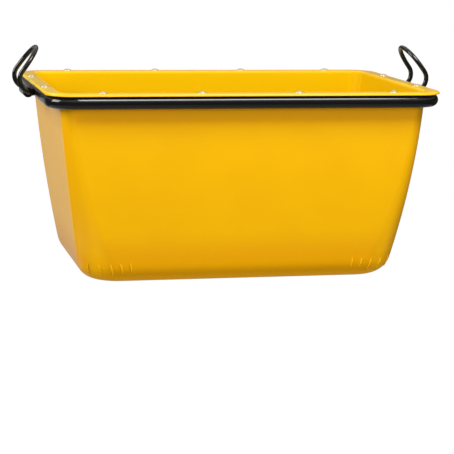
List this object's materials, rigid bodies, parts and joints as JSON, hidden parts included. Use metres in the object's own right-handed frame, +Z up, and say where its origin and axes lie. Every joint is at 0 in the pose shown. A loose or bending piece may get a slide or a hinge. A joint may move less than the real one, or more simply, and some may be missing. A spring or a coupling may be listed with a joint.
{
  "type": "cement tub",
  "caption": "Open rectangular moulded plastic tub for mortar or cement, its flange riveted to a ring of round steel tube, with a hinged round-bar lifting bail at each short end.",
  "frame": {"origin": "middle of the underside of the tub's floor, on the ground that it stands on", "axes": "+X along the tub's length towards one bail, +Y across it, -Y towards the front in the picture, +Z up"},
  "size_m": [1.0858, 0.66, 0.5733],
  "materials": {
    "yellow_plastic": "moulded, smooth and semi-gloss",
    "black_paint": "gloss black powder coat",
    "rivet_aluminium": "bright, plain",
    "mandrel_steel": "zinc plated, broken end"
  },
  "bodies": {
    "tub": {"tub_shell": "yellow_plastic", "frame_tube_front": "black_paint", "frame_tube_back": "black_paint", "frame_tube_left": "black_paint", "frame_tube_right": "black_paint", "frame_bend_front_left": "black_paint", "frame_bend_front_right": "black_paint", "frame_bend_back_left": "black_paint", "frame_bend_back_right": "black_paint", "rivets_front": "rivet_aluminium", "rivets_back": "rivet_aluminium", "rivets_left": "rivet_aluminium", "rivets_right": "rivet_aluminium", "rivet_mandrels_front": "mandrel_steel", "rivet_mandrels_back": "mandrel_steel", "rivet_mandrels_left": "mandrel_steel", "rivet_mandrels_right": "mandrel_steel", "bail_sleeve_left": "black_paint", "bail_sleeve_right": "black_paint", "sleeve_welds_left": "black_paint", "sleeve_welds_right": "black_paint"},
    "bail_left": {"bail_left": "black_paint"},
    "bail_right": {"bail_right": "black_paint"}
  },
  "joints": [
    {"name": "bail_left_swing", "type": "hinge", "parent": "tub", "child": "bail_left", "pos_m": [-0.514, 0, 0.4569], "axis": [0, -1, 0], "range_deg": [-65, 171]},
    {"name": "bail_right_swing", "type": "hinge", "parent": "tub", "child": "bail_right", "pos_m": [0.514, 0, 0.4569], "axis": [0, 1, 0], "range_deg": [-65, 171]}
  ]
}
